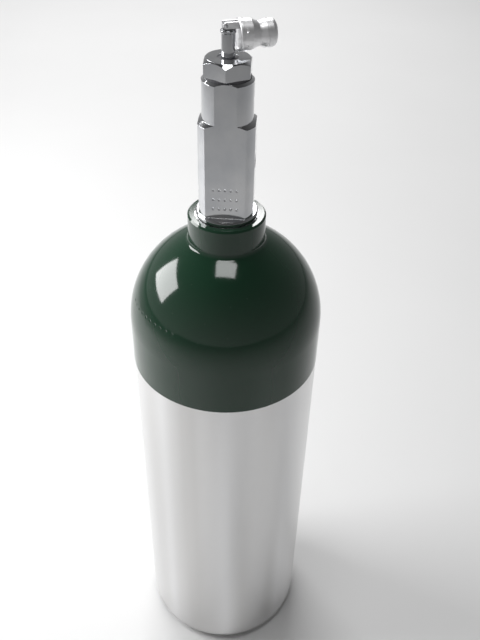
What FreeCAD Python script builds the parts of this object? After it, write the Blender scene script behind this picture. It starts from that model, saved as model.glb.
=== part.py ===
"""Portable aluminium oxygen cylinder with a pin-index post valve and a fold-up toggle handle.

Millimetres, +Z up. The origin is the centre of the ring that the cylinder stands on. The valve's plain front
flat faces -Y, its gas outlet faces -X and its yoke-screw dimple faces +X.
"""

import FreeCAD, Part
import math
import os
import re

import Sketcher
from FreeCAD import Placement, Rotation, Vector

doc = FreeCAD.newDocument("oxygen_cylinder")
sheet = doc.addObject("Spreadsheet::Sheet", "Sizes")

# Driving dimensions. Heights named *_level are above the neck's top face; the rest are lengths, radii,
# degrees and counts.
SIZES = (
    # the pressure vessel
    ("outer_radius", 55.6),
    ("neck_top", 345.0),
    ("wall_thickness", 6.4),
    ("base_thickness", 11.0),
    ("base_corner", 10.0),
    ("base_recess", 3.0),
    ("stand_ring_inner", 27.0),
    ("dome_centre", 277.5),
    ("neck_radius", 20.9),
    ("neck_fillet", 3.0),
    ("neck_bevel", 0.8),
    ("cavity_corner", 9.0),
    ("cavity_dome_drop", 3.0),
    ("enamel_edge", 249.3),
    ("enamel_thickness", 0.25),
    ("enamel_key", 0.05),
    ("stamp_radius", 3.0),
    ("stamp_depth", 0.2),
    ("stamp_elevation", 19.5),
    ("stamp_start", 28.0),
    ("stamp_step", 4.6),
    ("stamp_count", 10.0),
    # the neck's mouth and the seal in it
    ("flange_recess_radius", 17.4),
    ("flange_recess_depth", 0.8),
    ("seal_groove_radius", 12.4),
    ("seal_section", 1.2),
    ("shank_radius", 9.525),
    ("shank_length", 21.0),
    ("shank_chamfer", 1.0),
    # the outside of the valve's post
    ("flange_radius", 16.75),
    ("flange_level", 2.9),
    ("flange_bevel", 0.8),
    ("post_radius", 15.6),
    ("front_flat", 11.7),
    ("port_flat", 14.3),
    ("shoulder_level", 52.25),
    ("shoulder_rise", 1.5),
    ("crown_radius", 12.9),
    ("crown_level", 74.2),
    ("crown_chamfer", 1.2),
    ("punch_radius", 1.3),
    ("punch_depth", 0.25),
    ("punch_level", 8.3),
    ("punch_pitch", 3.0),
    ("punch_row_step", 5.5),
    ("punch_columns", 5.0),
    ("punch_rows", 3.0),
    # the valve's gas way, from the inlet up
    ("inlet_radius", 3.0),
    ("tube_radius", 4.0),
    ("tube_bore", 2.9),
    ("tube_length", 62.0),
    ("tube_grip", 8.0),
    ("tube_hole_rise", 12.0),
    ("filter_length", 5.0),
    ("orifice_radius", 1.5),
    ("orifice_length", 4.0),
    ("seat_level", 28.0),
    ("seat_lip_radius", 2.4),
    ("seat_lip_height", 0.6),
    ("chamber_radius", 5.0),
    ("chamber_level", 42.0),
    ("plug_bore_radius", 6.25),
    ("ledge_level", 54.0),
    ("gland_radius", 9.5),
    # ports on the post
    ("outlet_level", 31.0),
    ("outlet_radius", 3.5),
    ("outlet_depth", 4.5),
    ("passage_radius", 1.6),
    ("index_circle", 14.3),
    ("index_angle", 18.0),
    ("index_radius", 2.375),
    ("index_depth", 6.0),
    ("dimple_radius", 4.0),
    ("dimple_depth", 3.0),
    ("relief_level", 13.0),
    ("relief_radius", 4.2),
    ("relief_floor", 5.2),
    ("relief_head", 4.8),
    ("relief_head_length", 3.2),
    ("relief_vent", 1.1),
    ("relief_vent_depth", 2.3),
    ("relief_cross_radius", 0.8),
    ("disc_thickness", 0.3),
    ("disc_gasket_thickness", 0.7),
    # gland nut and the rings in it
    ("washer_thickness", 0.8),
    ("collar_thickness", 2.1),
    ("collar_radius", 9.0),
    ("gasket_radius", 11.3),
    ("relief_neck_radius", 8.9),
    ("relief_neck_drop", 1.5),
    ("hex_level", 75.4),
    ("hex_top_level", 83.3),
    ("hex_half_flats", 11.1),
    ("hex_face_radius", 10.6),
    ("hex_chamfer", 1.9),
    ("hex_foot_chamfer", 0.3),
    ("seal_bore_radius", 5.47),
    ("seal_bore_length", 5.2),
    ("stem_seal_section", 1.08),
    ("back_up_thickness", 1.3),
    ("dust_recess_radius", 5.1),
    ("dust_recess_depth", 1.5),
    ("dust_ring_drop", 0.3),
    # stem and plug
    ("stem_radius", 3.25),
    ("stem_level", 96.0),
    ("stem_chamfer", 0.45),
    ("stem_lip_radius", 3.7),
    ("stem_lip_height", 1.3),
    ("stem_clearance", 0.06),
    ("face_clearance", 0.05),
    ("tang_level", 99.3),
    ("tang_width", 5.8),
    ("tang_thickness", 1.9),
    ("blade_width", 10.0),
    ("blade_thickness", 2.4),
    ("blade_length", 5.2),
    ("slot_clearance", 0.12),
    ("slot_depth", 5.4),
    ("plug_top_level", 52.2),
    ("plug_head_level", 42.6),
    ("plug_radius", 6.19),
    ("plug_nose_radius", 3.4),
    ("disc_radius", 2.7),
    ("disc_length", 1.8),
    ("disc_proud", 0.6),
    ("plug_groove_level", 44.6),
    ("plug_groove_length", 1.6),
    ("plug_seal_section", 0.7),
    ("plug_seal_proud", 0.02),
    # toggle handle, along its own axis from the stem's centre
    ("toggle_heading", 20.0),
    ("toggle_level", 93.0),
    ("pivot_level", 97.85),
    ("pivot_offset", 1.3),
    ("barrel_start", 4.4),
    ("barrel_radius", 7.5),
    ("barrel_length", 6.1),
    ("barrel_end_radius", 7.0),
    ("rim_thickness", 1.3),
    ("rim_groove", 0.3),
    ("waist_place", 14.4),
    ("waist_radius", 5.6),
    ("waist_length", 0.8),
    ("knob_radius", 6.4),
    ("knob_place", 17.2),
    ("knob_end", 22.5),
    ("knob_groove", 0.25),
    ("knob_ring", 0.6),
    ("knob_round", 2.2),
    ("bell_radius", 6.2),
    ("bell_depth", 0.6),
    ("notch_count", 6.0),
    ("notch_radius", 1.5),
    ("notch_stand_off", 0.65),
    ("arm_height", 3.0),
    ("arm_thickness", 1.0),
    ("arm_reach", 6.6),
    ("pin_radius", 0.8),
    ("pin_clearance", 0.07),
    ("pin_proud", 0.25),
)

for row, (alias, number) in enumerate(SIZES, start=1):
    sheet.set(f"A{row}", alias)
    sheet.set(f"B{row}", str(number))
    sheet.setAlias(f"B{row}", alias)
doc.recompute()

ALIASES = {alias for alias, number in SIZES}


def bound(text):
    """The expression with every alias written as a cell of the sheet."""
    return re.sub(r"[a-z_]+", lambda word: f"Sizes.{word[0]}" if word[0] in ALIASES else word[0], str(text))


def value(text):
    """The number that an expression of the sheet's aliases has now."""
    return float(sheet.evalExpression(bound(text)))


def level(name):
    """The height above the floor of a level that is counted from the neck's top."""
    return f"(neck_top + {name})"


# ---------------------------------------------------------------- turned pieces


def pin_point(sketch, geo, place, across, along):
    """Ties one point of a sketch to two expressions; a zero puts it on the sketch's own axis."""
    for kind, axis, text in (("DistanceX", -2, across), ("DistanceY", -1, along)):
        if text is None:
            continue
        number = value(text)
        if abs(number) < 1e-9:
            sketch.addConstraint(Sketcher.Constraint("PointOnObject", geo, place, axis))
            continue
        index = sketch.addConstraint(Sketcher.Constraint(kind, -1, 1, geo, place, number))
        sketch.setExpression(f"Constraints[{index}]", bound(text))


def arc_between(first, last, centre):
    """The shorter arc round centre, and whether it runs from first to last (False: from last to first)."""
    start = math.atan2(first[1] - centre[1], first[0] - centre[0])
    stop = math.atan2(last[1] - centre[1], last[0] - centre[0])
    forward = (stop - start) % (2 * math.pi) < math.pi
    radius = math.hypot(first[0] - centre[0], first[1] - centre[1])
    circle = Part.Circle(Vector(*centre, 0), Vector(0, 0, 1), radius)
    return Part.ArcOfCircle(circle, *((start, stop) if forward else (stop, start))), forward


def draw_outline(sketch, corners):
    """A closed outline. A corner is (x, y), or (x, y, centre x, centre y) where an arc leads to it."""
    points = [(value(corner[0]), value(corner[1])) for corner in corners]
    ends = []
    for index, corner in enumerate(corners):
        first, last = points[index - 1], points[index]
        if len(corner) == 2:
            geo = sketch.addGeometry(Part.LineSegment(Vector(*first, 0), Vector(*last, 0)))
            ends.append((geo, 1, 2))
            continue
        arc, forward = arc_between(first, last, (value(corner[2]), value(corner[3])))
        geo = sketch.addGeometry(arc)
        ends.append((geo, 1, 2) if forward else (geo, 2, 1))
        sideways = abs(last[1] - first[1]) > abs(last[0] - first[0])
        pin_point(sketch, geo, 3, corner[2] if sideways else None, None if sideways else corner[3])
    for index, (geo, start, stop) in enumerate(ends):
        following = ends[(index + 1) % len(ends)]
        sketch.addConstraint(Sketcher.Constraint("Coincident", geo, stop, following[0], following[1]))
        pin_point(sketch, geo, stop, corners[index][0], corners[index][1])


def new_sketch(body, name, role):
    """A sketch on one of the body's own origin planes."""
    sketch = body.newObject("Sketcher::SketchObject", name)
    plane = next(item for item in body.Origin.OriginFeatures if item.Role == role)
    sketch.AttachmentSupport = [(plane, "")]
    sketch.MapMode = "FlatFace"
    return sketch


def turned(name, corners, axis="V_Axis"):
    """A body turned on a lathe: its outline is drawn in the XZ plane as (radius, height) corners."""
    body = doc.addObject("PartDesign::Body", name)
    sketch = new_sketch(body, f"{name}_outline", "XZ_Plane")
    draw_outline(sketch, corners)
    turn = body.newObject("PartDesign::Revolution", f"{name}_turn")
    turn.Profile = sketch
    turn.ReferenceAxis = (sketch, [axis])
    turn.Angle = 360
    doc.recompute()
    return body


def ring(name, inner, outer, low, high):
    """A flat ring or washer."""
    return turned(name, ((inner, low), (outer, low), (outer, high), (inner, high)))


# ---------------------------------------------------------------- primitives and booleans


def put(item, place):
    """Binds an object's place to three expressions."""
    for letter, text in zip("xyz", place):
        item.setExpression(f"Placement.Base.{letter}", bound(text))
    return item


def block(name, size, place):
    """A box from its lowest corner."""
    item = doc.addObject("Part::Box", name)
    for side, text in zip(("Length", "Width", "Height"), size):
        item.setExpression(side, bound(text))
    return put(item, place)


def rod(name, radius, length, place, heading=Vector(0, 0, 1)):
    """A cylinder from the centre of one end, along heading."""
    item = doc.addObject("Part::Cylinder", name)
    item.setExpression("Radius", bound(radius))
    item.setExpression("Height", bound(length))
    item.Placement = Placement(Vector(), Rotation(Vector(0, 0, 1), heading))
    return put(item, place)


def cone(name, wide, narrow, length, place, heading):
    """A cone from the centre of its wide end, along heading."""
    item = doc.addObject("Part::Cone", name)
    for side, text in zip(("Radius1", "Radius2", "Height"), (wide, narrow, length)):
        item.setExpression(side, bound(text))
    item.Placement = Placement(Vector(), Rotation(Vector(0, 0, 1), heading))
    return put(item, place)


def torus(name, ring_radius, section, place):
    """An O-ring, lying flat."""
    item = doc.addObject("Part::Torus", name)
    item.setExpression("Radius1", bound(ring_radius))
    item.setExpression("Radius2", bound(section))
    return put(item, place)


def ball(name, radius, place):
    item = doc.addObject("Part::Sphere", name)
    item.setExpression("Radius", bound(radius))
    return put(item, place)


def joined(name, pieces):
    item = doc.addObject("Part::MultiFuse", name)
    item.Shapes = pieces
    return item


def cut(name, base, tools):
    """The base with every tool taken off it."""
    item = doc.addObject("Part::Cut", name)
    item.Base = base
    item.Tool = tools[0] if len(tools) == 1 else joined(f"{name}_tools", tools)
    return item


def shared(name, pieces):
    item = doc.addObject("Part::MultiCommon", name)
    item.Shapes = pieces
    return item


def hexagon(name, half_flats, low, length):
    """A hexagonal bar with a corner towards -Y."""
    item = doc.addObject("Part::Prism", name)
    item.Polygon = 6
    item.setExpression("Circumradius", bound(f"({half_flats}) / cos(30)"))
    item.setExpression("Height", bound(length))
    item.Placement = Placement(Vector(), Rotation(Vector(0, 0, 1), 30))
    return put(item, ("0", "0", low))


LEFT, RIGHT, FORWARD, BACK = Vector(-1, 0, 0), Vector(1, 0, 0), Vector(0, -1, 0), Vector(0, 1, 0)


# ---------------------------------------------------------------- the pressure vessel

FILLET_X = "(neck_radius + neck_fillet)"
FILLET_RISE = "sqrt((outer_radius + neck_fillet)^2 - (neck_radius + neck_fillet)^2)"
FILLET_Z = f"(dome_centre + {FILLET_RISE})"


def shoulder_line(offset):
    """The corners from the top of the wall over the dome, fillet, neck and bevel, moved out by offset."""
    part = f"(outer_radius + {offset}) / (outer_radius + neck_fillet)"
    turn = f"(sqrt(2) - 1) * {offset}"
    return [
        (f"outer_radius + {offset}", "dome_centre"),
        (f"{FILLET_X} * {part}", f"dome_centre + {FILLET_RISE} * {part}", "0", "dome_centre"),
        (f"neck_radius + {offset}", FILLET_Z, FILLET_X, FILLET_Z),
        (f"neck_radius + {offset}", f"neck_top - neck_bevel + {turn}"),
        (f"neck_radius - neck_bevel + {turn}", f"neck_top + {offset}"),
        ("flange_recess_radius", f"neck_top + {offset}"),
    ]


def backwards(corners):
    """The same line drawn from its other end, each arc keeping its centre."""
    line = [corners[-1][:2]]
    for corner, following in zip(reversed(corners[:-1]), reversed(corners[1:])):
        line.append(corner[:2] + following[2:])
    return line


KEYED = "(-enamel_key)"


def cylinder_shell():
    """The wall's section: hollow base, wall, keyed shoulder, mouth, and back down the inside."""
    inner = "(outer_radius - wall_thickness)"
    inner_centre = "(dome_centre - cavity_dome_drop)"
    groove_floor = "neck_top - flange_recess_depth - 2 * seal_section"
    outside = [
        ("0", "base_recess"),
        ("stand_ring_inner", "0", "0", "(base_recess^2 - stand_ring_inner^2) / (2 * base_recess)"),
        ("outer_radius - base_corner", "0"),
        ("outer_radius", "base_corner", "outer_radius - base_corner", "base_corner"),
        ("outer_radius", "enamel_edge"),
        ("outer_radius - enamel_key", "enamel_edge"),
    ]
    inside = [
        ("flange_recess_radius", "neck_top - flange_recess_depth"),
        ("seal_groove_radius", "neck_top - flange_recess_depth"),
        ("seal_groove_radius", groove_floor),
        ("shank_radius", groove_floor),
        ("shank_radius", f"{inner_centre} + sqrt({inner}^2 - shank_radius^2)"),
        (inner, inner_centre, "0", inner_centre),
        (inner, "base_thickness + cavity_corner"),
        (
            f"{inner} - cavity_corner",
            "base_thickness",
            f"{inner} - cavity_corner",
            "base_thickness + cavity_corner",
        ),
        ("0", "base_thickness"),
    ]
    return turned("cylinder_shell", outside + shoulder_line(KEYED) + inside)


def stamp_cutters():
    """Balls that press an arc of plain round dots into the front left of the dome, all at one height."""
    distance = "(outer_radius + enamel_thickness + stamp_radius - stamp_depth)"
    stamps = []
    for index in range(int(value("stamp_count"))):
        angle = f"(stamp_start + {index} * stamp_step)"
        place = (
            f"-{distance} * cos(stamp_elevation) * sin({angle})",
            f"-{distance} * cos(stamp_elevation) * cos({angle})",
            f"dome_centre + {distance} * sin(stamp_elevation)",
        )
        stamps.append(ball(f"dome_stamp_{index + 1}", "stamp_radius", place))
    return stamps


def shoulder_enamel():
    """The enamel coat, between the keyed surface of the shell and a line one coat further out."""
    edge = [("outer_radius - enamel_key", "enamel_edge"), ("outer_radius + enamel_thickness", "enamel_edge")]
    outside = shoulder_line("enamel_thickness")
    coat = turned("enamel_coat", edge + outside + backwards(shoulder_line(KEYED)))
    return cut("shoulder_enamel", coat, stamp_cutters())


def neck_o_ring():
    return torus(
        "neck_o_ring",
        "(seal_groove_radius + shank_radius) / 2",
        "seal_section",
        ("0", "0", "neck_top - flange_recess_depth - seal_section"),
    )


# ---------------------------------------------------------------- the valve's body and gas way


def post_blank():
    """The post as it comes off the lathe, with the gas way bored down its middle."""
    flange_low = "neck_top - flange_recess_depth"
    shank_low = level("-shank_length")
    orifice_low = level("seat_level - orifice_length")
    chamber_low = level("seat_level - seat_lip_height")
    shoulder_top = level("shoulder_level + shoulder_rise")
    return turned(
        "post_blank",
        (
            ("tube_radius", shank_low),
            ("shank_radius - shank_chamfer", shank_low),
            ("shank_radius", f"{shank_low} + shank_chamfer"),
            ("shank_radius", flange_low),
            ("flange_radius", flange_low),
            ("flange_radius", level("flange_level - flange_bevel")),
            ("flange_radius - flange_bevel", level("flange_level")),
            ("post_radius", level("flange_level")),
            ("post_radius", level("shoulder_level")),
            ("crown_radius", shoulder_top),
            ("crown_radius", level("crown_level - crown_chamfer")),
            ("crown_radius - crown_chamfer", level("crown_level")),
            ("gland_radius", level("crown_level")),
            ("gland_radius", level("ledge_level")),
            ("plug_bore_radius", level("ledge_level")),
            ("plug_bore_radius", level("chamber_level")),
            ("chamber_radius", level("chamber_level")),
            ("chamber_radius", chamber_low),
            ("seat_lip_radius", chamber_low),
            ("seat_lip_radius", level("seat_level")),
            ("orifice_radius", level("seat_level")),
            ("orifice_radius", orifice_low),
            ("inlet_radius", orifice_low),
            ("inlet_radius", f"{shank_low} + tube_grip"),
            ("tube_radius", f"{shank_low} + tube_grip"),
        ),
    )


def flat_cutters():
    """Blocks that mill the plain flats in front and behind, and the shorter port flats left and right."""
    reach, across = "flange_radius", "2 * flange_radius"
    low = level("flange_level")
    tall = "hex_level - flange_level"
    short = "shoulder_level + shoulder_rise - flange_level"
    front = block("front_mill", (across, reach, tall), (f"-{reach}", f"-front_flat - {reach}", low))
    back = block("back_mill", (across, reach, tall), (f"-{reach}", "front_flat", low))
    left = block("left_mill", (reach, across, short), (f"-port_flat - {reach}", f"-{reach}", low))
    right = block("right_mill", (reach, across, short), ("port_flat", f"-{reach}", low))
    return [front, back, left, right]


def port_cutters():
    """Drills for the gas outlet, the two index holes, the yoke-screw dimple and the relief device."""
    outlet = level("outlet_level")
    relief = ("0", "front_flat", level("relief_level"))
    index_down = level("outlet_level - index_circle * cos(index_angle)")
    tools = [
        rod("outlet_drill", "outlet_radius", "outlet_depth", ("-port_flat", "0", outlet), RIGHT),
        rod("passage_drill", "passage_radius", "port_flat", ("-port_flat", "0", outlet), RIGHT),
        cone("dimple_drill", "dimple_radius", "0", "dimple_depth", ("port_flat", "0", outlet), LEFT),
        rod("relief_drill", "relief_radius", "front_flat - relief_floor", relief, FORWARD),
        rod("relief_passage", "relief_vent", "front_flat", relief, FORWARD),
    ]
    for name, side in (("index_drill_front", "-1"), ("index_drill_back", "1")):
        across = f"{side} * index_circle * sin(index_angle)"
        tools.append(rod(name, "index_radius", "index_depth", ("-port_flat", across, index_down), RIGHT))
    return tools


def punch_cutters():
    """Balls that press rows of plain round dots into the foot of the front flat."""
    punches = []
    for row in range(int(value("punch_rows"))):
        for column in range(int(value("punch_columns"))):
            place = (
                f"({column} - (punch_columns - 1) / 2) * punch_pitch",
                "punch_depth - front_flat - punch_radius",
                level(f"punch_level + {row} * punch_row_step"),
            )
            punches.append(ball(f"flat_punch_{row + 1}_{column + 1}", "punch_radius", place))
    return punches


def valve_body():
    return cut("valve_body", post_blank(), flat_cutters() + port_cutters() + punch_cutters())


def dip_tube():
    """The anti-debris tube, whose top end sits in the shank; two cross holes near its bottom."""
    low = level("tube_grip - shank_length - tube_length")
    tube = ring("dip_tube_blank", "tube_bore", "tube_radius", low, level("tube_grip - shank_length"))
    height = f"{low} + tube_hole_rise"
    across = rod("tube_hole_x", "passage_radius", "2 * tube_radius", ("-tube_radius", "0", height), RIGHT)
    along = rod("tube_hole_y", "passage_radius", "2 * tube_radius", ("0", "tube_radius", height), FORWARD)
    return cut("dip_tube", tube, [across, along])


def inlet_filter():
    """A sintered thimble on top of the dip tube."""
    low = level("tube_grip - shank_length")
    inner = "inlet_radius / 2"
    return turned(
        "inlet_filter",
        (
            (inner, low),
            ("inlet_radius", low),
            ("inlet_radius", f"{low} + filter_length"),
            ("0", f"{low} + filter_length"),
            ("0", f"{low} + filter_length - {inner}"),
            (inner, f"{low} + filter_length - {inner}"),
        ),
    )


# ---------------------------------------------------------------- the relief device in the back flat


def lying_ring(name, inner, outer, start, length):
    """A ring on the relief device's axis, from start towards the outside."""
    place = ("0", start, level("relief_level"))
    disc = rod(f"{name}_blank", outer, length, place, BACK)
    hole = rod(f"{name}_hole", inner, length, place, BACK)
    return cut(name, disc, [hole])


def relief_plug():
    """A hexagon-headed plug with a blind vent, and two cross vents that open on four sides of its head."""
    height = level("relief_level")
    start = "(relief_floor + disc_gasket_thickness + disc_thickness)"
    corner = "relief_head / cos(30)"
    shank = rod("relief_shank", "relief_radius", f"front_flat - {start}", ("0", start, height), BACK)
    head = doc.addObject("Part::Prism", "relief_hex")
    head.Polygon = 6
    head.setExpression("Circumradius", bound(corner))
    head.setExpression("Height", bound("relief_head_length"))
    head.Placement = Placement(Vector(), Rotation(Vector(0, 0, 1), BACK))
    put(head, ("0", "front_flat", height))
    vent_length = f"front_flat - {start} + relief_vent_depth"
    vent_line = "front_flat + relief_head_length / 2"
    bore = rod("relief_vent_bore", "relief_vent", vent_length, ("0", start, height), BACK)
    cross_radius, cross_length = "relief_cross_radius", f"2 * {corner}"
    cross_x = rod("relief_cross_x", cross_radius, cross_length, (f"-{corner}", vent_line, height), RIGHT)
    cross_z = rod("relief_cross_z", cross_radius, cross_length, ("0", vent_line, f"{height} - {corner}"))
    return cut("relief_plug", joined("relief_blank", [shank, head]), [bore, cross_x, cross_z])


def burst_disc():
    start = "relief_floor + disc_gasket_thickness"
    return rod("burst_disc", "relief_radius", "disc_thickness", ("0", start, level("relief_level")), BACK)


def disc_gasket():
    inner = "relief_radius / 2"
    return lying_ring("disc_gasket", inner, "relief_radius", "relief_floor", "disc_gasket_thickness")


# ---------------------------------------------------------------- the gland

COLLAR_LOW = level("ledge_level + face_clearance")
COLLAR_TOP = level("ledge_level + face_clearance + collar_thickness")
WASHER_LOW = level("ledge_level + 2 * face_clearance + collar_thickness")
GLAND_LOW = level("ledge_level + 2 * face_clearance + collar_thickness + washer_thickness")
STEM_HOLE = "(stem_radius + stem_clearance)"


def gland_nut():
    """The nut: a threaded barrel with the seal bore in its bottom, and a hexagon chamfered at both ends."""
    seal_top = f"{GLAND_LOW} + seal_bore_length"
    corner = "hex_half_flats / cos(30)"
    blank = turned(
        "gland_blank",
        (
            ("seal_bore_radius", GLAND_LOW),
            ("gland_radius", GLAND_LOW),
            ("gland_radius", level("crown_level - relief_neck_drop")),
            ("relief_neck_radius", level("crown_level - relief_neck_drop")),
            ("relief_neck_radius", level("hex_level")),
            (f"{corner} - hex_foot_chamfer", level("hex_level")),
            (corner, level("hex_level + hex_foot_chamfer")),
            (corner, level("hex_top_level - hex_chamfer")),
            ("hex_face_radius", level("hex_top_level")),
            ("dust_recess_radius", level("hex_top_level")),
            ("dust_recess_radius", level("hex_top_level - dust_recess_depth")),
            (STEM_HOLE, level("hex_top_level - dust_recess_depth")),
            (STEM_HOLE, seal_top),
            ("seal_bore_radius", seal_top),
        ),
    )
    bar = hexagon("gland_hex", "hex_half_flats", GLAND_LOW, "hex_top_level - ledge_level")
    return shared("gland_nut", [blank, bar])


def gland_gasket():
    low, high = level("crown_level"), level("hex_level")
    return ring("gland_gasket", "relief_neck_radius", "gasket_radius", low, high)


def thrust_washer():
    return ring("thrust_washer", STEM_HOLE, "collar_radius", WASHER_LOW, GLAND_LOW)


def stem_o_ring():
    height = f"{GLAND_LOW} + stem_seal_section"
    ring_radius = f"({STEM_HOLE} + seal_bore_radius) / 2"
    section = f"(seal_bore_radius - {STEM_HOLE}) / 2"
    return torus("stem_o_ring", ring_radius, section, ("0", "0", height))


def back_up_ring():
    low = f"{GLAND_LOW} + 2 * stem_seal_section"
    return ring("back_up_ring", STEM_HOLE, "seal_bore_radius", low, f"{low} + back_up_thickness")


def dust_ring():
    low = level("hex_top_level - dust_recess_depth")
    return ring("dust_ring", STEM_HOLE, "dust_recess_radius", low, level("hex_top_level - dust_ring_drop"))


# ---------------------------------------------------------------- stem, plug and disc


def stem():
    """The spindle: drive blade, collar, round shaft and the tang that carries the toggle's pin."""
    shaft = turned(
        "stem_shaft",
        (
            ("0", COLLAR_LOW),
            ("collar_radius", COLLAR_LOW),
            ("collar_radius", COLLAR_TOP),
            ("stem_radius", COLLAR_TOP),
            ("stem_radius", level("stem_level - stem_lip_height - stem_chamfer")),
            ("stem_lip_radius", level("stem_level - stem_lip_height")),
            ("stem_lip_radius", level("stem_level - stem_chamfer")),
            ("stem_lip_radius - stem_chamfer", level("stem_level")),
            ("0", level("stem_level")),
        ),
    )
    blade = block(
        "stem_blade",
        ("blade_width", "blade_thickness", "blade_length"),
        ("-blade_width / 2", "-blade_thickness / 2", f"{COLLAR_LOW} - blade_length"),
    )
    tang = block(
        "stem_tang",
        ("tang_width", "tang_thickness", "tang_level - stem_level"),
        ("-tang_width / 2", "-tang_thickness / 2", level("stem_level")),
    )
    hole = rod(
        "tang_hole",
        "pin_radius + pin_clearance",
        "2 * tang_thickness",
        ("-pivot_offset", "tang_thickness", level("pivot_level")),
        FORWARD,
    )
    whole = cut("stem", joined("stem_blank", [shaft, blade, tang]), [hole])
    whole.Placement = toggle_place()
    return whole


def seat_plug():
    """The plug: a fluted nose that carries the disc, a head in the bored thread, and the drive slot."""
    nose_low = level("seat_level + disc_proud")
    groove_low = level("plug_groove_level")
    groove_floor = "plug_radius + plug_seal_proud - 2 * plug_seal_section"
    blank = turned(
        "plug_blank",
        (
            ("0", f"{nose_low} + disc_length - disc_proud"),
            ("disc_radius", f"{nose_low} + disc_length - disc_proud"),
            ("disc_radius", nose_low),
            ("plug_nose_radius", nose_low),
            ("plug_nose_radius", level("plug_head_level")),
            ("plug_radius", level("plug_head_level")),
            ("plug_radius", groove_low),
            (groove_floor, groove_low),
            (groove_floor, f"{groove_low} + plug_groove_length"),
            ("plug_radius", f"{groove_low} + plug_groove_length"),
            ("plug_radius", level("plug_top_level")),
            ("0", level("plug_top_level")),
        ),
    )
    slot = block(
        "plug_slot",
        ("2 * plug_radius", "blade_thickness + 2 * slot_clearance", "slot_depth"),
        ("-plug_radius", "-blade_thickness / 2 - slot_clearance", level("plug_top_level - slot_depth")),
    )
    whole = cut("seat_plug", blank, [slot])
    whole.Placement = toggle_place()
    return whole


def seat_disc():
    """The soft disc, its face just clear of the seat's lip when the valve is shut."""
    low = level("seat_level + face_clearance / 2")
    return rod("seat_disc", "disc_radius", "disc_length - face_clearance / 2", ("0", "0", low))


def plug_o_ring():
    height = level("plug_groove_level + plug_groove_length / 2")
    ring_radius = "plug_radius + plug_seal_proud - plug_seal_section"
    return torus("plug_o_ring", ring_radius, "plug_seal_section", ("0", "0", height))


# ---------------------------------------------------------------- the toggle handle


def toggle_place():
    """The stem and its handle are drawn along +X and turned to the handle's resting direction."""
    return Placement(Vector(), Rotation(Vector(0, 0, 1), value("toggle_heading")))


def toggle_bell():
    """The handle's turned outline: rim round a shallow hollow, tapering barrel, waist and ringed knob."""
    rim_end = "barrel_start + rim_thickness"
    barrel_end = "barrel_start + barrel_length"
    ring_low, ring_high = "knob_place + knob_ring", "knob_place + 2 * knob_ring"
    return (
        ("barrel_start + bell_depth", "0"),
        ("barrel_start + bell_depth", "bell_radius"),
        ("barrel_start", "bell_radius"),
        ("barrel_start", "barrel_radius - rim_groove"),
        ("barrel_start + rim_groove", "barrel_radius"),
        (rim_end, "barrel_radius"),
        (f"{rim_end} + rim_groove", "barrel_radius - rim_groove"),
        (barrel_end, "barrel_end_radius"),
        ("waist_place - waist_length / 2", "waist_radius"),
        ("waist_place + waist_length / 2", "waist_radius"),
        ("knob_place", "knob_radius"),
        (ring_low, "knob_radius"),
        (ring_low, "knob_radius - knob_groove"),
        (ring_high, "knob_radius - knob_groove"),
        (ring_high, "knob_radius"),
        ("knob_end - knob_round", "knob_radius"),
        ("knob_end", "knob_radius - knob_round", "knob_end - knob_round", "knob_radius - knob_round"),
        ("knob_end", "0"),
    )


def toggle_handle():
    """The bell, moved up to its axis, with the rim's notches, the two fork arms and the pin's hole."""
    body = turned("toggle_bell", toggle_bell(), "H_Axis")
    put(body, ("0", "0", level("toggle_level")))
    gap = "(tang_thickness / 2 + slot_clearance)"
    arm_low = level("pivot_level - arm_height / 2")
    arms = []
    for name, near in (("arm_front", f"-{gap} - arm_thickness"), ("arm_back", gap)):
        bar_size = ("arm_reach + pivot_offset", "arm_thickness", "arm_height")
        arms.append(block(name, bar_size, ("-pivot_offset", near, arm_low)))
        round_place = ("-pivot_offset", near, level("pivot_level"))
        arms.append(rod(f"{name}_end", "arm_height / 2", "arm_thickness", round_place, BACK))
    notches = []
    for index in range(int(value("notch_count"))):
        angle = f"{index} * 360 / notch_count"
        place = (
            "barrel_start + rim_thickness + notch_radius",
            f"(barrel_radius + notch_stand_off) * sin({angle})",
            level(f"toggle_level - (barrel_radius + notch_stand_off) * cos({angle})"),
        )
        notches.append(ball(f"rim_notch_{index + 1}", "notch_radius", place))
    width = f"2 * ({gap} + arm_thickness)"
    hole = rod(
        "arm_hole",
        "pin_radius",
        width,
        ("-pivot_offset", f"-{gap} - arm_thickness", level("pivot_level")),
        BACK,
    )
    gap_cut = block(
        "fork_gap",
        ("arm_reach", f"2 * {gap}", "arm_height"),
        ("barrel_start - arm_reach", f"-{gap}", arm_low),
    )
    blank = joined("toggle_blank", [body] + arms)
    whole = cut("toggle_handle", blank, [hole, gap_cut] + notches)
    whole.Placement = toggle_place()
    return whole


def toggle_pivot_pin():
    half = "(tang_thickness / 2 + slot_clearance + arm_thickness + pin_proud)"
    end = "pin_proud"
    pin = turned(
        "toggle_pivot_pin",
        (
            (f"-{half}", "0"),
            (f"-{half}", f"pin_radius - {end}"),
            (f"-{half} + {end}", "pin_radius"),
            (f"{half} - {end}", "pin_radius"),
            (half, f"pin_radius - {end}"),
            (half, "0"),
        ),
        "H_Axis",
    )
    pivot = Vector(-value("pivot_offset"), 0, value(level("pivot_level")))
    across = Placement(pivot, Rotation(Vector(0, 0, 1), 90))
    pin.Placement = toggle_place().multiply(across)
    return pin


PIECES = (
    cylinder_shell,
    shoulder_enamel,
    neck_o_ring,
    valve_body,
    dip_tube,
    inlet_filter,
    relief_plug,
    burst_disc,
    disc_gasket,
    gland_nut,
    gland_gasket,
    thrust_washer,
    stem_o_ring,
    back_up_ring,
    dust_ring,
    stem,
    seat_plug,
    seat_disc,
    plug_o_ring,
    toggle_handle,
    toggle_pivot_pin,
)


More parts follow.
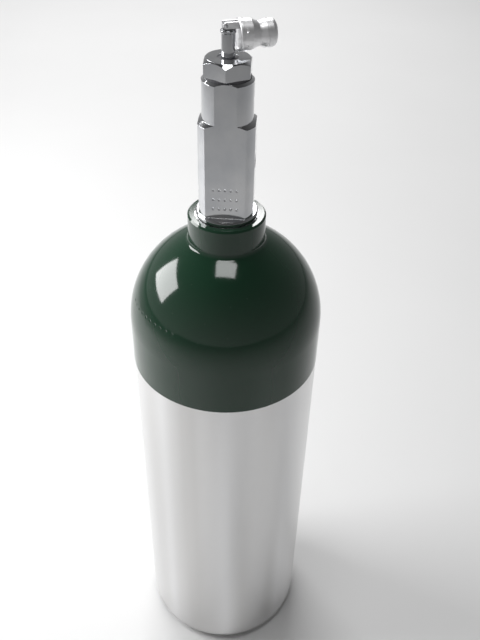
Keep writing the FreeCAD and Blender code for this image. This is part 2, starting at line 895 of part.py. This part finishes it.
def check(pieces):
    """Stops on any object that failed to compute, and on any piece without a valid solid."""
    for item in doc.Objects:
        if "Invalid" in item.State or "Error" in item.State:
            raise SystemExit(f"{item.Name} failed: {item.State}")
    for piece in pieces:
        if piece.Shape.isNull() or not piece.Shape.isValid() or not piece.Shape.Solids:
            raise SystemExit(f"{piece.Label} has no valid solid")


def main():
    pieces = []
    for make in PIECES:
        piece = make()
        piece.Label = make.__name__
        pieces.append(piece)
    doc.recompute()
    check(pieces)
    os.makedirs("parts", exist_ok=True)
    for piece in pieces:
        piece.Shape.exportStep(f"parts/{piece.Label}.step")
        print(f"{piece.Label}: {piece.Shape.Volume:.1f} mm3, {len(piece.Shape.Solids)} solid(s)")


main()
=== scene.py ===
"""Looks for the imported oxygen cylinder: finishes on every node, fine surface detail, studio and camera.

Everything is in metres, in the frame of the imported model: +Z up, the cylinder's foot at z = 0.
"""

import math

import bpy
from mathutils import Matrix, Vector

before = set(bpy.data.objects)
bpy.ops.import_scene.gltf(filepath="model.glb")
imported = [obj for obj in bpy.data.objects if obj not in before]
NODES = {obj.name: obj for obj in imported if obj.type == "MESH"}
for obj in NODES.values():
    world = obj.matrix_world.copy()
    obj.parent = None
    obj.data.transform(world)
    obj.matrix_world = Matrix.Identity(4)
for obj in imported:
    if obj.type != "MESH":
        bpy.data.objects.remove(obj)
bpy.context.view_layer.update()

MM = 0.001


# ---------------------------------------------------------------- shader building


class Finish:
    """A Principled material, with short calls that add and join its nodes."""

    def __init__(self, name, **constants):
        self.material = bpy.data.materials.new(name)
        self.material.use_nodes = True
        self.tree = self.material.node_tree
        self.shader = self.tree.nodes["Principled BSDF"]
        self.place = self.add("ShaderNodeTexCoord").outputs["Object"]
        for socket, number in constants.items():
            self.shader.inputs[socket.replace("_", " ")].default_value = number

    def add(self, kind, inputs=None, **settings):
        """A new node; inputs gives its sockets a number, a colour or another node's output."""
        node = self.tree.nodes.new(kind)
        for name, setting in settings.items():
            setattr(node, name, setting)
        for socket, source in (inputs or {}).items():
            self.feed(node.inputs[socket], source)
        return node

    def feed(self, socket, source):
        """Links a socket to another node's output, or sets it to a number or a colour."""
        if isinstance(source, bpy.types.NodeSocket):
            self.tree.links.new(source, socket)
        else:
            socket.default_value = source

    def drive(self, name, source):
        """Feeds one of the shader's own sockets."""
        self.feed(self.shader.inputs[name], source)

    def noise(self, cells, detail=3.0, roughness=0.5):
        """Cloudy noise with so many cells per metre, either all ways or along x, y and z."""
        vector, scale = self.place, cells
        if isinstance(cells, tuple):
            stretch = {"Vector": self.place, "Scale": cells}
            vector, scale = self.add("ShaderNodeMapping", stretch).outputs["Vector"], 1.0
        inputs = {"Vector": vector, "Scale": scale, "Detail": detail, "Roughness": roughness}
        return self.add("ShaderNodeTexNoise", inputs).outputs["Fac"]

    def ramp(self, factor, *stops):
        """A ramp through two stops, each a place and a grey or a colour."""
        node = self.add("ShaderNodeValToRGB", {"Fac": factor})
        for element, (place, colour) in zip(node.color_ramp.elements, stops):
            element.position = place
            element.color = colour if isinstance(colour, tuple) else (colour, colour, colour, 1)
        return node.outputs["Color"]

    def span(self, factor, low, high):
        """Brings a 0 to 1 factor into the range low to high."""
        inputs = {"Value": factor, "To Min": low, "To Max": high}
        return self.add("ShaderNodeMapRange", inputs).outputs["Result"]

    def math(self, operation, *values):
        """Adds or multiplies two values."""
        node = self.add("ShaderNodeMath", operation=operation)
        for socket, source in zip(node.inputs, values):
            self.feed(socket, source)
        return node.outputs["Value"]

    def mix(self, factor, first, second):
        """The first colour where the factor is 0, the second where it is 1."""
        node = self.add("ShaderNodeMixRGB", {"Fac": factor, "Color1": first, "Color2": second})
        return node.outputs["Color"]

    def bump(self, height, strength, distance, normal=None):
        """Relief from a height, on top of the given normal if there is one."""
        inputs = {"Height": height, "Strength": strength, "Distance": distance}
        if normal is not None:
            inputs["Normal"] = normal
        return self.add("ShaderNodeBump", inputs).outputs["Normal"]


# ---------------------------------------------------------------- the cylinder's wall

# Here and below, colours are linear and CELLS counts the cells of a noise in one metre.

RING_CELLS = (40, 40, 2600)
RING_CONTRAST = 0.06
BAND_CELLS = (38, 38, 1.5)
WALL_DARK = (0.60, 0.595, 0.59, 1)
WALL_LIGHT = (0.82, 0.82, 0.825, 1)
WALL_ROUGHNESS = (0.13, 0.24)
WEAR_COLOUR = (0.34, 0.335, 0.33, 1)
WEAR_LOW = 1 * MM
WEAR_HIGH = 12 * MM
WEAR_AT_FOOT = 0.6
WEAR_CELLS = 160


def foot_wear(skin):
    """How worn the wall is: patchy at the foot, fading to nothing a little higher up."""
    height = skin.add("ShaderNodeSeparateXYZ", {"Vector": skin.place}).outputs["Z"]
    band = {"Value": height, "From Min": WEAR_LOW, "From Max": WEAR_HIGH}
    fade = {"To Min": WEAR_AT_FOOT, "To Max": 0}
    foot = skin.add("ShaderNodeMapRange", {**band, **fade}).outputs["Result"]
    return skin.math("MULTIPLY", foot, skin.noise(WEAR_CELLS, detail=4.0))


def brushed_aluminium():
    """Satin turned wall: fine rings round the axis, soft bands along it and a worn, darker foot."""
    skin = Finish("shell_aluminium", Metallic=1.0, Anisotropic=0.7, Anisotropic_Rotation=0.25)
    tangent = skin.add("ShaderNodeTangent", direction_type="RADIAL", axis="Z").outputs["Tangent"]
    skin.drive("Tangent", tangent)
    rings = skin.noise(RING_CELLS, detail=4.0, roughness=0.7)
    bands = skin.noise(BAND_CELLS, detail=1.0)
    tone = skin.math("ADD", skin.span(rings, -RING_CONTRAST, RING_CONTRAST), bands)
    bare = skin.ramp(tone, (0.32, WALL_DARK), (0.68, WALL_LIGHT))
    skin.drive("Base Color", skin.mix(foot_wear(skin), bare, WEAR_COLOUR))
    skin.drive("Roughness", skin.span(skin.math("ADD", rings, bands), *WALL_ROUGHNESS))
    skin.drive("Normal", skin.bump(rings, strength=0.12, distance=0.04 * MM))
    return skin.material


# ---------------------------------------------------------------- the shoulder's enamel

GREEN_DARK = (0.0085, 0.0330, 0.0175, 1)
GREEN_LIGHT = (0.0110, 0.0400, 0.0215, 1)
GREEN_CELLS = 14
ENAMEL_ROUGHNESS = (0.05, 0.12)
GLOSS_CELLS = 60
PEEL_CELLS = 420
DUST_COLOUR = (0.30, 0.34, 0.31, 1)
DUST_CELLS = 210
DUST_SHARE = 0.10
SPECK_CORE, SPECK_EDGE = 0.035, 0.06
HAIRLINE_CELLS = (700, 60, 260)
HAIRLINE_EDGE, HAIRLINE_CORE = 0.70, 0.74
HAIRLINE_ROUGHNESS = 0.12


def green_enamel():
    """Baked bottle-green enamel: glossy, with faint orange peel, a few hairlines and a little dust."""
    skin = Finish("green_enamel", Metallic=0.0, IOR=1.5)
    green = skin.ramp(skin.noise(GREEN_CELLS), (0.3, GREEN_DARK), (0.7, GREEN_LIGHT))
    cells = skin.add("ShaderNodeTexVoronoi", {"Vector": skin.place, "Scale": DUST_CELLS})
    specks = skin.ramp(cells.outputs["Distance"], (SPECK_CORE, 1.0), (SPECK_EDGE, 0.0))
    skin.drive("Base Color", skin.mix(skin.math("MULTIPLY", specks, DUST_SHARE), green, DUST_COLOUR))
    scratches = skin.noise(HAIRLINE_CELLS, detail=2.0)
    hairlines = skin.ramp(scratches, (HAIRLINE_EDGE, 0.0), (HAIRLINE_CORE, 1.0))
    gloss = skin.span(skin.noise(GLOSS_CELLS), *ENAMEL_ROUGHNESS)
    skin.drive("Roughness", skin.math("ADD", gloss, skin.math("MULTIPLY", hairlines, HAIRLINE_ROUGHNESS)))
    peel = skin.noise(PEEL_CELLS, detail=2.0)
    skin.drive("Normal", skin.bump(peel, strength=0.02, distance=0.05 * MM))
    return skin.material


# ---------------------------------------------------------------- the valve's metals, seals and washers

CHROME_DARK = (0.51, 0.52, 0.54, 1)
CHROME_LIGHT = (0.60, 0.605, 0.615, 1)
CHROME_CELLS = 70
POLISH_CELLS = (900, 900, 90)
EDGE_SOFTNESS = 0.2 * MM
SATIN_CELLS = 90
SATIN_SHADE = 0.93


def chrome(name, roughness, waviness):
    """Bright plate: near-mirror, with hairline polishing marks, a trace of waviness and softened edges."""
    skin = Finish(name, Metallic=1.0)
    hairs = skin.noise(POLISH_CELLS, detail=3.0)
    cloud = skin.noise(CHROME_CELLS)
    skin.drive("Base Color", skin.ramp(cloud, (0.3, CHROME_DARK), (0.7, CHROME_LIGHT)))
    skin.drive("Roughness", skin.span(skin.math("MULTIPLY", hairs, cloud), *roughness))
    edges = skin.add("ShaderNodeBevel", {"Radius": EDGE_SOFTNESS}).outputs["Normal"]
    skin.drive("Normal", skin.bump(cloud, strength=waviness, distance=0.05 * MM, normal=edges))
    return skin.material


def satin_plate(name, colour, roughness, grain):
    """Satin metal: an even, fine grain that softens every reflection."""
    skin = Finish(name, Metallic=1.0)
    grains = skin.noise(grain, detail=2.0)
    shaded = tuple(SATIN_SHADE * part for part in colour)
    cloud = skin.noise(SATIN_CELLS)
    skin.drive("Base Color", skin.ramp(cloud, (0.35, (*shaded, 1)), (0.65, (*colour, 1))))
    skin.drive("Roughness", skin.span(grains, *roughness))
    skin.drive("Normal", skin.bump(grains, strength=0.10, distance=0.03 * MM))
    return skin.material


def dull(name, dark, light, roughness, grain):
    """Rubber, fibre and polymer: no metal, a fine moulded or pressed grain."""
    skin = Finish(name, Metallic=0.0, IOR=1.45)
    grains = skin.noise(grain, detail=4.0, roughness=0.6)
    skin.drive("Base Color", skin.ramp(grains, (0.3, (*dark, 1)), (0.7, (*light, 1))))
    skin.drive("Roughness", skin.span(grains, *roughness))
    skin.drive("Normal", skin.bump(grains, strength=0.25, distance=0.05 * MM))
    return skin.material


# ---------------------------------------------------------------- dressing the nodes


def all_finishes():
    """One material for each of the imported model's material slots."""
    return (
        brushed_aluminium(),
        green_enamel(),
        chrome("chromed_brass", roughness=(0.07, 0.20), waviness=0.03),
        chrome("polished_steel", roughness=(0.09, 0.22), waviness=0.05),
        satin_plate("satin_nickel", colour=(0.88, 0.88, 0.89), roughness=(0.36, 0.48), grain=1500),
        satin_plate("bare_brass", colour=(0.78, 0.58, 0.28), roughness=(0.18, 0.30), grain=1200),
        satin_plate("sintered_bronze", colour=(0.55, 0.37, 0.20), roughness=(0.45, 0.70), grain=3200),
        satin_plate("copper_foil", colour=(0.82, 0.46, 0.32), roughness=(0.15, 0.28), grain=1800),
        dull(
            "black_rubber",
            dark=(0.012, 0.012, 0.013),
            light=(0.03, 0.03, 0.03),
            roughness=(0.45, 0.6),
            grain=900,
        ),
        dull(
            "white_polymer",
            dark=(0.80, 0.79, 0.75),
            light=(0.90, 0.89, 0.85),
            roughness=(0.35, 0.5),
            grain=700,
        ),
        dull(
            "dark_fibre",
            dark=(0.05, 0.05, 0.055),
            light=(0.12, 0.12, 0.13),
            roughness=(0.6, 0.8),
            grain=1600,
        ),
    )


def slot_name(material):
    """A material's name, without the number that Blender adds to the second of that name."""
    return material.name.split(".")[0]


def dress():
    """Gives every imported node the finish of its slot."""
    finishes = {slot_name(finish): finish for finish in all_finishes()}
    for node in NODES.values():
        for place in node.material_slots:
            place.material = finishes[slot_name(place.material)]


# ---------------------------------------------------------------- studio

FLOOR_SIZE = 8.0
FLOOR_DARK, FLOOR_LIGHT = 0.80, 0.82
FLOOR_ROUGHNESS = (0.75, 0.85)
FLOOR_CELLS = 3
HORIZON, ZENITH = 0.45, 0.02
LEFT_SIDE, RIGHT_SIDE = 1.2, 0.6

KEY = {"place": (-0.8, 0.1, 0.65), "aim": (0, 0, 0.2), "wide": 0.55, "high": 0.4, "watts": 7.5}
BACK = {"place": (-0.5, 1.7, 1.7), "aim": (-0.1, 0.8, 0), "wide": 1.6, "high": 0.5, "watts": 32}
OVERHEAD = {"place": (0, -0.1, 1.5), "aim": (0, -0.1, 0), "wide": 0.45, "high": 0.38, "watts": 4}


def in_scene(name, data):
    """A new object in the scene, for a mesh, a lamp or a camera."""
    made = bpy.data.objects.new(name, data)
    bpy.context.scene.collection.objects.link(made)
    return made


def floor_paint():
    """Matt pale grey, with a trace of cloudiness."""
    skin = Finish("floor_paint", Metallic=0.0)
    cloud = skin.noise(FLOOR_CELLS)
    skin.drive("Base Color", skin.ramp(cloud, (0.3, FLOOR_DARK), (0.7, FLOOR_LIGHT)))
    skin.drive("Roughness", skin.span(cloud, *FLOOR_ROUGHNESS))
    return skin.material


def pale_floor():
    """One large square, level with the cylinder's foot."""
    half = FLOOR_SIZE / 2
    corners = [(-half, -half, 0), (half, -half, 0), (half, half, 0), (-half, half, 0)]
    mesh = bpy.data.meshes.new("floor")
    mesh.from_pydata(corners, [], [(0, 1, 2, 3)])
    mesh.materials.append(floor_paint())
    in_scene("floor", mesh)


def room():
    """A plain grey studio: pale at the horizon, dark overhead, and a little darker on the right."""
    world = bpy.data.worlds.new("studio")
    bpy.context.scene.world = world
    world.use_nodes = True
    nodes, links = world.node_tree.nodes, world.node_tree.links
    axes = nodes.new("ShaderNodeSeparateXYZ")
    links.new(nodes.new("ShaderNodeTexCoord").outputs["Generated"], axes.inputs["Vector"])
    shares = []
    for axis, lowest, low, high in (("Z", 0, HORIZON, ZENITH), ("X", -1, LEFT_SIDE, RIGHT_SIDE)):
        share = nodes.new("ShaderNodeMapRange")
        share.inputs["From Min"].default_value = lowest
        share.inputs["To Min"].default_value = low
        share.inputs["To Max"].default_value = high
        links.new(axes.outputs[axis], share.inputs["Value"])
        shares.append(share.outputs["Result"])
    glow = nodes.new("ShaderNodeMath")
    glow.operation = "MULTIPLY"
    for socket, share in zip(glow.inputs, shares):
        links.new(share, socket)
    links.new(glow.outputs["Value"], nodes["Background"].inputs["Color"])


def softbox(name, place, aim, wide, high, watts):
    """A rectangular studio lamp, aimed at a point."""
    lamp = bpy.data.lights.new(name, "AREA")
    lamp.shape = "RECTANGLE"
    lamp.size = wide
    lamp.size_y = high
    lamp.energy = watts
    made = in_scene(name, lamp)
    made.location = place
    made.rotation_euler = (Vector(aim) - Vector(place)).to_track_quat("-Z", "Y").to_euler()


def lights():
    """A key on the left, a large softbox high up behind and a small one overhead."""
    softbox("key", **KEY)
    softbox("back", **BACK)
    softbox("overhead", **OVERHEAD)


# ---------------------------------------------------------------- camera

CAMERA_PLACE = Vector((0.0301, -0.3461, 0.5511))
CAMERA_DOWN = math.radians(38.89)
CAMERA_LEFT = math.radians(3.58)
CAMERA_ROLL = math.radians(1.35)
CAMERA_LENS = 41.97
CAMERA_NEAREST = 10 * MM


def camera():
    """The camera, in front and above, looking down at the cylinder."""
    lens = bpy.data.cameras.new("camera")
    lens.lens = CAMERA_LENS
    lens.clip_start = CAMERA_NEAREST
    made = in_scene("camera", lens)
    turned = Matrix.Rotation(CAMERA_LEFT, 4, "Z") @ Matrix.Rotation(math.pi / 2 - CAMERA_DOWN, 4, "X")
    made.matrix_world = Matrix.Translation(CAMERA_PLACE) @ turned @ Matrix.Rotation(CAMERA_ROLL, 4, "Z")
    bpy.context.scene.camera = made


dress()
pale_floor()
room()
lights()
camera()
bpy.context.scene.view_settings.view_transform = "Standard"
